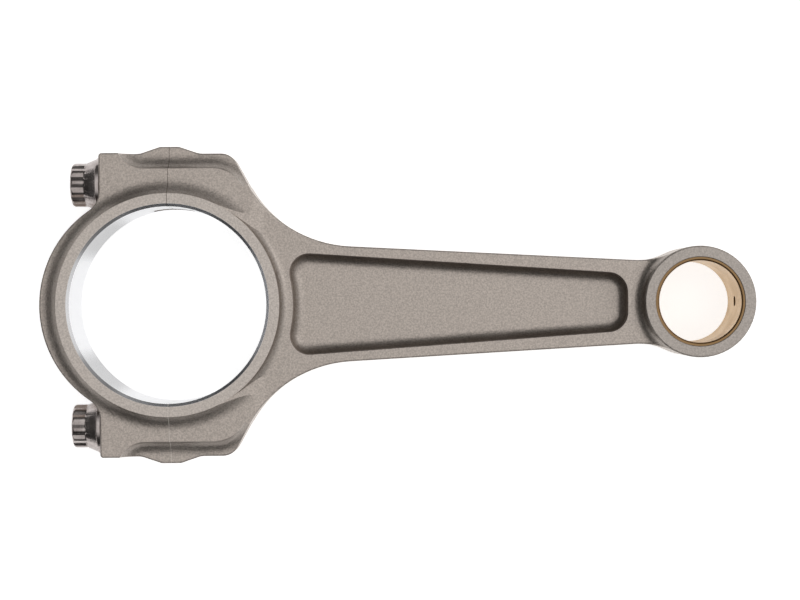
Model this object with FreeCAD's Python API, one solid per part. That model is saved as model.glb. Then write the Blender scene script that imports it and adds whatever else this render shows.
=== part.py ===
"""Forged I-beam connecting rod for a small V8 engine, with a bolted cap.

It comes apart into seven pieces: the rod with its beam, the cap, two twelve-point
cap bolts, two hollow dowel sleeves that locate the cap, and a bronze bush.

Frame, in millimetres: the origin is the centre of the big end's bore. +Z runs along
both bores, and +X runs from the crankpin's axis to the piston pin's axis. The cap
parts from the rod on the plane X = 0. The rod lies flat on its two thrust faces.
"""

import math
import os

import FreeCAD
import Part

# Centres and bores
CENTRE_DISTANCE = 152.4
BIG_BORE_RADIUS = 28.26
BIG_END_WIDTH = 23.88
BIG_RING_WALL = 3.74
BIG_BORE_CHAMFER = 0.8
PIN_RADIUS = 11.775
SMALL_END_WIDTH = 23.88
EYE_WALL = 3.25
EYE_BORE_CHAMFER = 0.2

# Bronze bush
BUSH_WALL = 0.95
BUSH_RECESS = 0.2
BUSH_CHAMFER = 0.4
OIL_HOLE_RADIUS = 1.5
OIL_SINK_DEPTH = 0.9

# Cap bolts, 7/16 inch with 20 threads to the inch
BOLT_RADIUS = 5.556
BOLT_LENGTH = 36.8
BOLT_THREAD_LENGTH = 16.5
BOLT_PILOT_RADIUS = 5.5
BOLT_PILOT_LENGTH = 5.0
BOLT_WAIST_RADIUS = 4.95
BOLT_WAIST_TAPER = 1.5
BOLT_TIP_CHAMFER = 1.0
HEAD_ACROSS_FLATS = 11.4
HEAD_POINT_RADIUS = 6.35
HEAD_POINT_HEIGHT = 4.4
HEAD_CHAMFER = 0.7
FLANGE_RADIUS = 8.0
FLANGE_CONE_HEIGHT = 2.9
FLANGE_RIM_HEIGHT = 1.5
FLANGE_RIM_CHAMFER = 0.25
END_DIMPLE_RADIUS = 1.4
END_DIMPLE_DEPTH = 1.0
HEAD_RECESS_RADIUS = 3.4
HEAD_RECESS_DEPTH = 0.8
THREAD_CLEARANCE = 0.05
TAPPED_DEPTH = 18.2
DRILL_POINT_ANGLE = 140.0
BOLT_HOLE_CLEARANCE = 0.14

# Dowel sleeves
DOWEL_WALL = 0.5
DOWEL_HALF_LENGTH = 4.0
DOWEL_CHAMFER = 0.3
DOWEL_SLIDE_CLEARANCE = 0.03
DOWEL_END_CLEARANCE = 0.2

# Cap and shoulders around the bolts
BOLT_BORE_WALL = 0.7
BOSS_WALL = 8.65
BOSS_THICKNESS = 18.4
SEAT_OFFSET = 19.9
SEAT_SPOTFACE_CLEARANCE = 0.5
SEAT_ROOT_RADIUS = 6.5
EAR_CORNER_RADIUS = 0.9
CAP_STRAP = 8.94
CAP_ARC_OFFSET = 4.2
SHOULDER_LENGTH = 17.9
SHOULDER_SLOPE = 61.5
SHOULDER_CORNER_RADIUS = 5.0
RING_COVE_RADIUS = 5.6
BEAM_SIDE_COVE_RADIUS = 3.0

# Lip and bump along each side of the big end
LIP_THICKNESS = 9.6
SCOOP_WIDTH = 4.6
SCOOP_RADIUS = 4.6
SCOOP_START = 6.9
SCOOP_START_RADIUS = 8.2
SCOOP_TURN_RADIUS = 10.5
SCOOP_OVERRUN = 1.45
BUMP_HEIGHT = 2.0
BUMP_HALF_TOP = 2.8
BUMP_HALF_FOOT = 8.7
BUMP_TOP_RADIUS = 2.0
BUMP_FOOT_RADIUS = 6.0

# Beam and its two pockets
BEAM_THICKNESS = 16.8
BEAM_WIDTH_AT_CRANK = 38.8
BEAM_WIDTH_AT_PIN = 22.2
BEAM_ROOT_RADIUS = 36.0
BEAM_NECK_RADIUS = 24.0
ROOT_RAMP_START = 24.6
ROOT_RAMP_SLOPE = 15.0
EYE_COVE_RADIUS = 3.6
WEB_THICKNESS = 5.2
FLANGE_WIDTH_AT_CRANK = 2.2
FLANGE_WIDTH_AT_PIN = 4.4
POCKET_GAP_AT_RING = 3.8
POCKET_GAP_AT_EYE = 0.9
POCKET_ROOT_CORNER = 5.5
POCKET_NECK_CORNER = 5.6
POCKET_FLOOR_RADIUS = 3.4

# Notches for the bearing shells' tangs
TANG_WIDTH = 4.6
TANG_DEPTH = 1.1
TANG_LENGTH = 6.0
TANG_OFFSET = 6.0

# Edge breaks
EDGE_RADIUS = 0.5
POCKET_LIP_RADIUS = 0.3
EYE_EDGE_CHAMFER = 0.4

# Worked out from the values above
BIG_HALF = BIG_END_WIDTH / 2
SMALL_HALF = SMALL_END_WIDTH / 2
BOSS_HALF = BOSS_THICKNESS / 2
BEAM_HALF = BEAM_THICKNESS / 2
LIP_HALF = LIP_THICKNESS / 2
WEB_HALF = WEB_THICKNESS / 2
RING_RADIUS = BIG_BORE_RADIUS + BIG_RING_WALL
BUSH_RADIUS = PIN_RADIUS + BUSH_WALL
EYE_RADIUS = BUSH_RADIUS + EYE_WALL
BOLT_HOLE_RADIUS = BOLT_RADIUS + BOLT_HOLE_CLEARANCE
DOWEL_RADIUS = BOLT_HOLE_RADIUS + DOWEL_WALL
BOLT_OFFSET = BIG_BORE_RADIUS + BOLT_BORE_WALL + DOWEL_RADIUS
SIDE = BOLT_OFFSET + BOSS_WALL
CAP_ARC_RADIUS = BIG_BORE_RADIUS + CAP_STRAP - CAP_ARC_OFFSET
HEAD_HEIGHT = HEAD_POINT_HEIGHT + FLANGE_CONE_HEIGHT + FLANGE_RIM_HEIGHT
PIN_AXIS = FreeCAD.Vector(CENTRE_DISTANCE, 0, 0)
TALLEST = max(BIG_HALF, SMALL_HALF)
BEYOND = 2.0
Z_AXIS = FreeCAD.Vector(0, 0, 1)
X_AXIS = FreeCAD.Vector(1, 0, 0)


def at(x, y, z=0.0):
    return FreeCAD.Vector(x, y, z)


def line(a, b):
    return Part.LineSegment(a, b).toShape()


def arc_about(centre, start, end):
    """The shorter arc from start to end about centre."""
    middle = (start + end) * 0.5 - centre
    middle.normalize()
    return Part.Arc(start, centre + middle * (start - centre).Length, end).toShape()


def rounded_path(corners):
    """Edges through corners of (x, y, radius). Each inner corner gets a tangent arc."""
    points = [at(x, y) for x, y, _ in corners]
    edges = []
    here = points[0]
    for before, corner, after, (_, _, radius) in zip(points, points[1:], points[2:], corners[1:]):
        if radius > 0:
            back = (before - corner).normalize()
            ahead = (after - corner).normalize()
            half = back.getAngle(ahead) / 2
            start = corner + back * (radius / math.tan(half))
            end = corner + ahead * (radius / math.tan(half))
            centre = corner + (back + ahead).normalize() * (radius / math.sin(half))
            edges.append(line(here, start))
            edges.append(arc_about(centre, start, end))
            here = end
        else:
            edges.append(line(here, corner))
            here = corner
    edges.append(line(here, points[-1]))
    return edges


def mirrored_y(edges):
    return [edge.mirror(at(0, 0), at(0, 1)) for edge in edges]


def slab(edges, low, high):
    """The region inside closed edges, drawn at Z = 0, as a solid from low to high."""
    wire = Part.Wire(Part.__sortEdges__(edges))
    face = Part.Face(wire)
    return face.translated(at(0, 0, low)).extrude(at(0, 0, high - low))


def spun(points_and_edges, centre, axis=Z_AXIS, angle=360):
    """The solid swept by a closed profile about an axis through centre."""
    wire = Part.Wire(Part.__sortEdges__(points_and_edges))
    return Part.Face(wire).revolve(centre, axis, angle)


def both_sides(shape):
    """A cutter for the upper face with its copy for the lower face."""
    return [shape, shape.mirror(at(0, 0), Z_AXIS)]


def tube(radius_in, radius_out, start, end, axis=Z_AXIS):
    length = (end - start).Length
    outer = Part.makeCylinder(radius_out, length, start, axis)
    return outer.cut(Part.makeCylinder(radius_in, length, start, axis))


def cove_width(radius, depth):
    """How far a cove of that radius spreads sideways over a drop of that depth."""
    if depth >= radius:
        return radius
    return math.sqrt(2 * radius * depth - depth * depth)


def cove_profile(start, outward, top, floor, radius, reach):
    """Edges of the region above a cove, in the plane of Z and the radius.

    The cove drops from top to floor as it leaves start, and outward is 1 or -1.
    """
    width = cove_width(radius, top - floor)
    height = min(top, floor + radius)
    foot = at(start + outward * width, 0, floor)
    lip = at(start, 0, height)
    centre = at(start + outward * width, 0, floor + radius)
    far_foot = at(start + outward * reach, 0, floor)
    far_top = at(start + outward * reach, 0, TALLEST + BEYOND)
    near_top = at(start, 0, TALLEST + BEYOND)
    edges = [arc_about(centre, lip, foot)]
    edges.append(line(foot, far_foot))
    edges.append(line(far_foot, far_top))
    edges.append(line(far_top, near_top))
    edges.append(line(near_top, lip))
    return edges


def moved(edges, offset):
    return [edge.translated(offset) for edge in edges]


def side_corners(direction, far_corners):
    """Corners of one long side of the big end, from the parting plane outwards."""
    return [
        (0, SIDE + BUMP_HEIGHT, 0),
        (direction * BUMP_HALF_TOP, SIDE + BUMP_HEIGHT, BUMP_TOP_RADIUS),
        (direction * BUMP_HALF_FOOT, SIDE, BUMP_FOOT_RADIUS),
    ] + far_corners


def beam_half_width(x):
    share = x / CENTRE_DISTANCE
    return (BEAM_WIDTH_AT_CRANK * (1 - share) + BEAM_WIDTH_AT_PIN * share) / 2


def beam_taper():
    """Half the angle between the beam's two sides, in radians."""
    return math.atan((BEAM_WIDTH_AT_CRANK - BEAM_WIDTH_AT_PIN) / 2 / CENTRE_DISTANCE)


def shoulder_foot():
    """Where the shoulder's slope would meet the side of the beam."""
    slope = math.tan(math.radians(SHOULDER_SLOPE))
    taper = math.tan(beam_taper())
    x = (SIDE + slope * SHOULDER_LENGTH - beam_half_width(0)) / (slope - taper)
    return x, beam_half_width(x)


def neck():
    """The beam's end of the neck arc, its centre, and its end on the eye."""
    along = at(math.cos(beam_taper()), -math.sin(beam_taper()))
    outward = at(math.sin(beam_taper()), math.cos(beam_taper()))
    base = at(0, beam_half_width(0)) + outward * BEAM_NECK_RADIUS - PIN_AXIS
    reach = BEAM_NECK_RADIUS + EYE_RADIUS
    half = base.dot(along)
    travel = -half - math.sqrt(half * half - base.dot(base) + reach * reach)
    start = at(0, beam_half_width(0)) + along * travel
    centre = start + outward * BEAM_NECK_RADIUS
    end = PIN_AXIS + (centre - PIN_AXIS) * (EYE_RADIUS / reach)
    return start, centre, end


def rod_outline():
    """The rod's closed outline: half of the big end, the beam and the eye."""
    start, centre, end = neck()
    foot_x, foot_y = shoulder_foot()
    corners = side_corners(1, [
        (SHOULDER_LENGTH, SIDE, SHOULDER_CORNER_RADIUS),
        (foot_x, foot_y, BEAM_ROOT_RADIUS),
        (start.x, start.y, 0),
    ])
    half = rounded_path(corners)
    half.append(arc_about(centre, start, end))
    tip = PIN_AXIS + at(EYE_RADIUS, 0)
    eye = Part.Arc(end, tip, at(end.x, -end.y)).toShape()
    top = SIDE + BUMP_HEIGHT
    return half + [eye] + mirrored_y(half) + [line(at(0, top), at(0, -top))]


def cap_outline():
    """The cap's closed outline: two ears with the bolts' seats, and the strap."""
    arc_centre = at(-CAP_ARC_OFFSET, 0)
    reach = CAP_ARC_RADIUS + SEAT_ROOT_RADIUS
    root_x = -SEAT_OFFSET - SEAT_ROOT_RADIUS
    root = at(root_x, math.sqrt(reach ** 2 - (root_x - arc_centre.x) ** 2))
    seat_end = at(-SEAT_OFFSET, root.y)
    strap_end = arc_centre + (root - arc_centre) * (CAP_ARC_RADIUS / reach)
    corners = side_corners(-1, [
        (-SEAT_OFFSET, SIDE, EAR_CORNER_RADIUS),
        (seat_end.x, seat_end.y, 0),
    ])
    half = rounded_path(corners)
    half.append(arc_about(root, seat_end, strap_end))
    back = arc_centre - at(CAP_ARC_RADIUS, 0)
    strap = Part.Arc(strap_end, back, at(strap_end.x, -strap_end.y)).toShape()
    top = SIDE + BUMP_HEIGHT
    return half + [strap] + mirrored_y(half) + [line(at(0, top), at(0, -top))]


def ring_cove(floor, radius, reach):
    """Cutter that leaves the big end's ring standing above a floor."""
    profile = cove_profile(RING_RADIUS, 1, BIG_HALF, floor, radius, reach)
    return spun(profile, at(0, 0))


def big_end_cutter():
    """Lowers the shoulders and the cap around the big end's ring."""
    reach = math.hypot(SHOULDER_LENGTH, SIDE + BUMP_HEIGHT)
    return ring_cove(BOSS_HALF, RING_COVE_RADIUS, reach)


def beam_cutter():
    """Lowers the beam between a shallow ramp at its root and the cove at the eye."""
    far = CENTRE_DISTANCE + EYE_RADIUS
    drop = BOSS_HALF - WEB_HALF
    run = drop / math.tan(math.radians(ROOT_RAMP_SLOPE))
    rise = TALLEST + BEYOND - BOSS_HALF
    ramp = [
        at(ROOT_RAMP_START, 0, BOSS_HALF),
        at(ROOT_RAMP_START + run, 0, WEB_HALF),
        at(far + BEYOND, 0, WEB_HALF),
        at(far + BEYOND, 0, BOSS_HALF + rise),
        at(ROOT_RAMP_START - rise * run / drop, 0, BOSS_HALF + rise),
    ]
    wedge_face = Part.Face(Part.makePolygon(ramp + ramp[:1]))
    wedge = wedge_face.translated(at(0, -far)).extrude(at(0, 2 * far))
    above_beam = ring_cove(BEAM_HALF, BEAM_SIDE_COVE_RADIUS, far).common(wedge)
    keep = cove_profile(EYE_RADIUS, 1, SMALL_HALF, BEAM_HALF, EYE_COVE_RADIUS, far)
    outside_eye = spun(moved(keep, PIN_AXIS), PIN_AXIS)
    return above_beam.common(outside_eye)


def scoop_cutter():
    """Cove along the +Y side of the big end, from the cap's ear to the shoulder."""
    inner = SIDE - SCOOP_WIDTH
    reach = SCOOP_START_RADIUS + BUMP_HEIGHT + BEYOND
    slope = math.radians(SHOULDER_SLOPE)
    normal = at(math.sin(slope), math.cos(slope))
    turn_y = inner - SCOOP_TURN_RADIUS
    turn_gap = SCOOP_TURN_RADIUS + SCOOP_OVERRUN
    turn_x = SHOULDER_LENGTH - (turn_gap + normal.y * (turn_y - SIDE)) / normal.x
    profile = cove_profile(0, 1, BOSS_HALF, LIP_HALF, SCOOP_RADIUS, reach)
    standing = [e.rotated(at(0, 0), Z_AXIS, 90) for e in profile]
    straight_wire = Part.Wire(Part.__sortEdges__(moved(standing, at(-SCOOP_START, inner))))
    straight = Part.Face(straight_wire).extrude(at(SCOOP_START + turn_x, 0))
    mouth = at(-SCOOP_START, inner + SCOOP_START_RADIUS)
    nose_profile = cove_profile(
        SCOOP_START_RADIUS, -1, BOSS_HALF, LIP_HALF, SCOOP_RADIUS, SCOOP_START_RADIUS)
    nose = spun(moved(nose_profile, mouth), mouth)
    pivot = at(turn_x, turn_y)
    turn_profile = cove_profile(SCOOP_TURN_RADIUS, 1, BOSS_HALF, LIP_HALF, SCOOP_RADIUS, reach)
    turn = [e.rotated(at(0, 0), Z_AXIS, 90 - SHOULDER_SLOPE) for e in turn_profile]
    corner = spun(moved(turn, pivot), pivot, Z_AXIS, SHOULDER_SLOPE)
    return straight.fuse([nose, corner]).removeSplitter()


def scoop_cutters():
    near = scoop_cutter()
    far = near.mirror(at(0, 0), at(0, 1))
    return both_sides(near) + both_sides(far)


def big_bore_cutter():
    """The bore for the bearing shells, with a chamfer at each thrust face."""
    wide = BIG_BORE_RADIUS + BIG_BORE_CHAMFER
    bore = Part.makeCylinder(BIG_BORE_RADIUS, BIG_END_WIDTH, at(0, 0, -BIG_HALF))
    cone_start = at(0, 0, BIG_HALF - BIG_BORE_CHAMFER)
    cone = Part.makeCone(BIG_BORE_RADIUS, wide, BIG_BORE_CHAMFER, cone_start)
    return bore.fuse(both_sides(cone))


def pocket_outline():
    """The closed outline of the pocket, concentric with the big end's ring at its root."""
    lip = RING_RADIUS + POCKET_GAP_AT_RING
    end_x = CENTRE_DISTANCE - EYE_RADIUS - EYE_COVE_RADIUS - POCKET_GAP_AT_EYE
    side_at_crank = beam_half_width(0) - FLANGE_WIDTH_AT_CRANK
    side_at_pin = beam_half_width(CENTRE_DISTANCE) - FLANGE_WIDTH_AT_PIN
    taper = math.atan((side_at_crank - side_at_pin) / CENTRE_DISTANCE)
    inward = at(-math.sin(taper), -math.cos(taper))
    along = at(math.cos(taper), -math.sin(taper))
    base = at(0, side_at_crank) + inward * POCKET_ROOT_CORNER
    reach = lip + POCKET_ROOT_CORNER
    half = base.dot(along)
    centre = base + along * (math.sqrt(half * half - base.dot(base) + reach * reach) - half)
    on_side = centre - inward * POCKET_ROOT_CORNER
    on_ring = centre * (lip / reach)
    neck_side = at(0, side_at_crank) + along * (end_x / math.cos(taper))
    half_edges = [arc_about(centre, on_ring, on_side)]
    half_edges += rounded_path([
        (on_side.x, on_side.y, 0),
        (neck_side.x, neck_side.y, POCKET_NECK_CORNER),
        (end_x, 0, 0),
    ])
    root = Part.Arc(on_ring, at(lip, 0), at(on_ring.x, -on_ring.y)).toShape()
    return half_edges + mirrored_y(half_edges) + [root]


def pocket_cutter():
    """One pocket of the I-beam, with a rounded floor."""
    block = slab(pocket_outline(), WEB_HALF, TALLEST + BEYOND)
    floor_edges = [e for e in block.Edges if e.BoundBox.ZMax < WEB_HALF + 0.01]
    return block.makeFillet(POCKET_FLOOR_RADIUS, floor_edges)


def bolt_hole_cutters(y):
    """The clearance hole, the dowel's counterbores and the tapped hole on one bolt's axis."""
    clear_start = at(-SEAT_OFFSET - BEYOND, y)
    clear_hole = Part.makeCylinder(BOLT_HOLE_RADIUS, SEAT_OFFSET + BEYOND, clear_start, X_AXIS)
    cap_depth = DOWEL_HALF_LENGTH + DOWEL_END_CLEARANCE
    cap_seat = Part.makeCylinder(DOWEL_RADIUS + DOWEL_SLIDE_CLEARANCE, cap_depth, at(-cap_depth, y), X_AXIS)
    rod_seat = Part.makeCylinder(DOWEL_RADIUS, DOWEL_HALF_LENGTH, at(0, y), X_AXIS)
    tapped_radius = BOLT_RADIUS + THREAD_CLEARANCE
    tapped = Part.makeCylinder(tapped_radius, TAPPED_DEPTH, at(0, y), X_AXIS)
    point_height = tapped_radius / math.tan(math.radians(DRILL_POINT_ANGLE / 2))
    point = Part.makeCone(tapped_radius, 0, point_height, at(TAPPED_DEPTH, y), X_AXIS)
    spot_radius = FLANGE_RADIUS + SEAT_SPOTFACE_CLEARANCE
    spot = Part.makeCylinder(spot_radius, SIDE, at(-SEAT_OFFSET - SIDE, y), X_AXIS)
    return [clear_hole, cap_seat, spot], [rod_seat, tapped, point]


def tang_notch(direction):
    """The notch that takes a bearing shell's tang, on the +Y side of the bore."""
    outer = BIG_BORE_RADIUS + TANG_DEPTH
    low = at(-BIG_BORE_RADIUS, -BIG_BORE_RADIUS, -TANG_OFFSET - TANG_WIDTH / 2)
    disc = Part.makeCylinder(outer, TANG_WIDTH, at(0, 0, low.z))
    x = 0 if direction > 0 else -TANG_LENGTH
    block = Part.makeBox(TANG_LENGTH, outer, TANG_WIDTH, at(x, 0, low.z))
    return disc.common(block)


def soften(shape, outline, radius, start_x, end_x, lowest):
    """Round the edges of shape above or below an outline, from start_x to end_x.

    Edges on the parting plane, edges nearer to Z = 0 than lowest and upright edges
    stay sharp.
    """
    path = Part.Wire(Part.__sortEdges__(outline))
    found = []
    for edge in shape.Edges:
        middle = edge.valueAt((edge.FirstParameter + edge.LastParameter) / 2)
        upright = edge.BoundBox.XLength < 0.01
        on_parting = abs(middle.x) < 0.01
        inside = start_x < middle.x < end_x
        if upright or on_parting or not inside or abs(middle.z) < lowest:
            continue
        if path.distToShape(Part.Vertex(middle.x, middle.y, 0))[0] < 0.01:
            found.append(edge)
    return shape.makeFillet(radius, found)


def end_trims():
    """Cutters that bring the narrower end down to its own width."""
    trims = []
    for x, radius, half in ((0, RING_RADIUS, BIG_HALF), (CENTRE_DISTANCE, EYE_RADIUS, SMALL_HALF)):
        if half < TALLEST:
            above = Part.makeCylinder(radius + BEYOND, TALLEST + BEYOND - half, at(x, 0, half))
            trims += both_sides(above)
    return trims


def eye_cutters():
    """The bush's bore, the oil hole with its countersink, and the eye's edge breaks."""
    bore = Part.makeCylinder(BUSH_RADIUS, SMALL_END_WIDTH, PIN_AXIS - Z_AXIS * SMALL_HALF)
    mouth_start = PIN_AXIS + Z_AXIS * (SMALL_HALF - EYE_BORE_CHAMFER)
    mouth = Part.makeCone(BUSH_RADIUS, BUSH_RADIUS + EYE_BORE_CHAMFER, EYE_BORE_CHAMFER, mouth_start)
    rim = [
        at(EYE_RADIUS - EYE_EDGE_CHAMFER, 0, SMALL_HALF),
        at(EYE_RADIUS + BEYOND, 0, SMALL_HALF - EYE_EDGE_CHAMFER - BEYOND),
        at(EYE_RADIUS + BEYOND, 0, SMALL_HALF),
    ]
    rim_face = Part.Face(Part.makePolygon(rim + rim[:1]))
    rim_cutter = rim_face.revolve(at(0, 0), Z_AXIS, 360).translated(PIN_AXIS)
    oil = Part.makeCylinder(OIL_HOLE_RADIUS, EYE_RADIUS + BEYOND, PIN_AXIS, X_AXIS)
    sink_start = PIN_AXIS + X_AXIS * (EYE_RADIUS - OIL_SINK_DEPTH)
    sink_height = OIL_SINK_DEPTH + BEYOND
    sink = Part.makeCone(OIL_HOLE_RADIUS, OIL_HOLE_RADIUS + sink_height, sink_height, sink_start, X_AXIS)
    return [bore, oil, sink] + both_sides(mouth) + both_sides(rim_cutter)


def rod():
    """The rod: half of the big end, the I-beam and the eye, in one forging."""
    body = slab(rod_outline(), -TALLEST, TALLEST)
    cutters = both_sides(big_end_cutter()) + both_sides(beam_cutter()) + scoop_cutters()
    cutters += both_sides(pocket_cutter()) + eye_cutters() + end_trims()
    cutters += [big_bore_cutter(), tang_notch(1)]
    for y in (BOLT_OFFSET, -BOLT_OFFSET):
        cutters += bolt_hole_cutters(y)[1]
    body = body.cut(cutters).removeSplitter()
    beam_end = neck()[0].x + EYE_COVE_RADIUS
    body = soften(body, pocket_outline(), POCKET_LIP_RADIUS, 0, CENTRE_DISTANCE, BEAM_HALF - 0.01)
    body = soften(body, rod_outline(), EDGE_RADIUS, 0, SHOULDER_LENGTH, LIP_HALF - 0.01)
    return soften(body, rod_outline(), EDGE_RADIUS, ROOT_RAMP_START, beam_end, BEAM_HALF - 0.01)


def cap():
    """The cap: the other half of the big end, with the seats for the bolts."""
    body = slab(cap_outline(), -BIG_HALF, BIG_HALF)
    body = body.cut(both_sides(big_end_cutter()) + scoop_cutters()).removeSplitter()
    body = soften(body, cap_outline(), EDGE_RADIUS, -2 * SIDE, 0, LIP_HALF - 0.01)
    cutters = [big_bore_cutter(), tang_notch(-1)]
    for y in (BOLT_OFFSET, -BOLT_OFFSET):
        cutters += bolt_hole_cutters(y)[0]
    return body.cut(cutters).removeSplitter()


def dowel_sleeve(y):
    """A hollow dowel round one bolt, half in the rod and half in the cap."""
    start = at(-DOWEL_HALF_LENGTH, y)
    sleeve = tube(BOLT_HOLE_RADIUS, DOWEL_RADIUS, start, at(DOWEL_HALF_LENGTH, y), X_AXIS)
    flat = [e for e in sleeve.Edges if e.BoundBox.XLength < 0.01]
    rims = [e for e in flat if abs(e.BoundBox.YLength - 2 * DOWEL_RADIUS) < 0.01]
    return sleeve.makeChamfer(DOWEL_CHAMFER, rims)


def bush():
    """The bronze bush that carries the piston pin, with its oil hole."""
    half = SMALL_HALF - BUSH_RECESS
    body = tube(PIN_RADIUS, BUSH_RADIUS, PIN_AXIS - Z_AXIS * half, PIN_AXIS + Z_AXIS * half)
    cone = Part.makeCone(
        PIN_RADIUS, PIN_RADIUS + BUSH_CHAMFER, BUSH_CHAMFER, PIN_AXIS + Z_AXIS * (half - BUSH_CHAMFER))
    oil = Part.makeCylinder(OIL_HOLE_RADIUS, EYE_RADIUS, PIN_AXIS, X_AXIS)
    return body.cut(both_sides(cone) + [oil])


def twelve_point(radius, start, height):
    """A double hexagon along +X, trimmed to a circle."""
    corner = HEAD_ACROSS_FLATS / 2 / math.cos(math.pi / 6)
    stars = []
    for turn in (0, 30):
        spokes = [math.radians(60 * n + turn) for n in range(7)]
        ring = [at(start, corner * math.cos(a), corner * math.sin(a)) for a in spokes]
        stars.append(Part.Face(Part.makePolygon(ring)).extrude(X_AXIS * height))
    star = stars[0].fuse(stars[1]).removeSplitter()
    return star.common(Part.makeCylinder(radius, height, at(start, 0), X_AXIS))


def bolt(y):
    """A cap bolt: twelve-point head, coned flange, waisted shank and thread."""
    top = -SEAT_OFFSET - HEAD_HEIGHT
    cone_top = top + HEAD_POINT_HEIGHT
    rim_top = cone_top + FLANGE_CONE_HEIGHT
    tip = -SEAT_OFFSET + BOLT_LENGTH
    thread_start = tip - BOLT_THREAD_LENGTH
    waist_start = -SEAT_OFFSET + BOLT_PILOT_LENGTH
    profile = [
        (cone_top, 0),
        (cone_top, HEAD_POINT_RADIUS),
        (rim_top, FLANGE_RADIUS - FLANGE_RIM_CHAMFER),
        (rim_top + FLANGE_RIM_CHAMFER, FLANGE_RADIUS),
        (-SEAT_OFFSET - FLANGE_RIM_CHAMFER, FLANGE_RADIUS),
        (-SEAT_OFFSET, FLANGE_RADIUS - FLANGE_RIM_CHAMFER),
        (-SEAT_OFFSET, BOLT_PILOT_RADIUS),
        (waist_start, BOLT_PILOT_RADIUS),
        (waist_start + BOLT_WAIST_TAPER, BOLT_WAIST_RADIUS),
        (thread_start - BOLT_WAIST_TAPER, BOLT_WAIST_RADIUS),
        (thread_start, BOLT_RADIUS),
        (tip - BOLT_TIP_CHAMFER, BOLT_RADIUS),
        (tip, BOLT_RADIUS - BOLT_TIP_CHAMFER),
        (tip, 0),
    ]
    outline = [at(x, 0, r) for x, r in profile]
    shank = Part.Face(Part.makePolygon(outline + outline[:1])).revolve(at(0, 0), X_AXIS, 360)
    points = twelve_point(HEAD_POINT_RADIUS, top, HEAD_POINT_HEIGHT)
    crown = Part.makeCone(
        HEAD_POINT_RADIUS - HEAD_CHAMFER, HEAD_POINT_RADIUS + HEAD_POINT_HEIGHT,
        HEAD_POINT_HEIGHT + HEAD_CHAMFER, at(top, 0), X_AXIS)
    body = shank.fuse(points.common(crown))
    recess = Part.makeCylinder(HEAD_RECESS_RADIUS, HEAD_RECESS_DEPTH, at(top, 0), X_AXIS)
    recess_floor = at(top + HEAD_RECESS_DEPTH, 0)
    head_dimple = Part.makeCone(END_DIMPLE_RADIUS, 0, END_DIMPLE_DEPTH, recess_floor, X_AXIS)
    dimple_start = at(tip - END_DIMPLE_DEPTH, 0)
    tip_dimple = Part.makeCone(0, END_DIMPLE_RADIUS, END_DIMPLE_DEPTH, dimple_start, X_AXIS)
    body = body.cut([recess, head_dimple, tip_dimple]).removeSplitter()
    return body.translated(at(0, y))


def main():
    os.makedirs("parts", exist_ok=True)
    nodes = {
        "rod_body": rod(),
        "rod_cap": cap(),
        "bolt_left": bolt(BOLT_OFFSET),
        "bolt_right": bolt(-BOLT_OFFSET),
        "dowel_sleeve_left": dowel_sleeve(BOLT_OFFSET),
        "dowel_sleeve_right": dowel_sleeve(-BOLT_OFFSET),
        "small_end_bush": bush(),
    }
    for name, shape in nodes.items():
        solids = shape.Solids
        print(f"{name}: {len(solids)} solid, valid {shape.isValid()}, {shape.Volume:.1f} mm3")
        shape.exportStep(f"parts/{name}.step")


main()
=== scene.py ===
"""Looks for a forged I-beam connecting rod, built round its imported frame.

The rod, the cap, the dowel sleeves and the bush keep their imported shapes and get
their finishes here. The two cap bolts are built again with cut threads.
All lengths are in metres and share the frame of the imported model.
"""

import logging
import math
from dataclasses import dataclass, field
from enum import Enum

import bmesh
import bpy
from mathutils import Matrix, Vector


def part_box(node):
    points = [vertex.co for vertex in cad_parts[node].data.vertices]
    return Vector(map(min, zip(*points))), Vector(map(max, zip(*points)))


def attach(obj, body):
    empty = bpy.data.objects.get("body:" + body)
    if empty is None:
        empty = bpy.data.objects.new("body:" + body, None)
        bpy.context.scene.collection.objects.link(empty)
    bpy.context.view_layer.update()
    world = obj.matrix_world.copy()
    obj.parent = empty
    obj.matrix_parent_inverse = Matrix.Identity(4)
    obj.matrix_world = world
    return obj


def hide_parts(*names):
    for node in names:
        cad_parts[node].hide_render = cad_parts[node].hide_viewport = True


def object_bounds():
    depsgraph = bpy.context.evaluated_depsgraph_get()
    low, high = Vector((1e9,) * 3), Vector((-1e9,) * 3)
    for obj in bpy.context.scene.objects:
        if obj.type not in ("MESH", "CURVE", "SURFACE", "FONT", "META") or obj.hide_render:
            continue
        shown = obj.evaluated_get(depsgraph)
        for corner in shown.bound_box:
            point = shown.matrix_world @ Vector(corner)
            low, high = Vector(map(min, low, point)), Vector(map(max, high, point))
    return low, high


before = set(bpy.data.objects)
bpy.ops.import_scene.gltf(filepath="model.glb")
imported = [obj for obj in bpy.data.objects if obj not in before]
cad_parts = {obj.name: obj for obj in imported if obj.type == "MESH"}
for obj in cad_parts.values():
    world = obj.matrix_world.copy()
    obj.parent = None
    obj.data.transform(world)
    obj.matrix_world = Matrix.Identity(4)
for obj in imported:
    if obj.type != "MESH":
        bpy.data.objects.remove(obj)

PACKED_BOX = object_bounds()
MM = 0.001
LOG = logging.getLogger("connecting_rod")

Colour = tuple[float, float, float]
Socket = bpy.types.NodeSocket


class Side(Enum):
    """The side of the rod's centre plane that a cap bolt is on."""

    LEFT = "left"
    RIGHT = "right"


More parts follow.
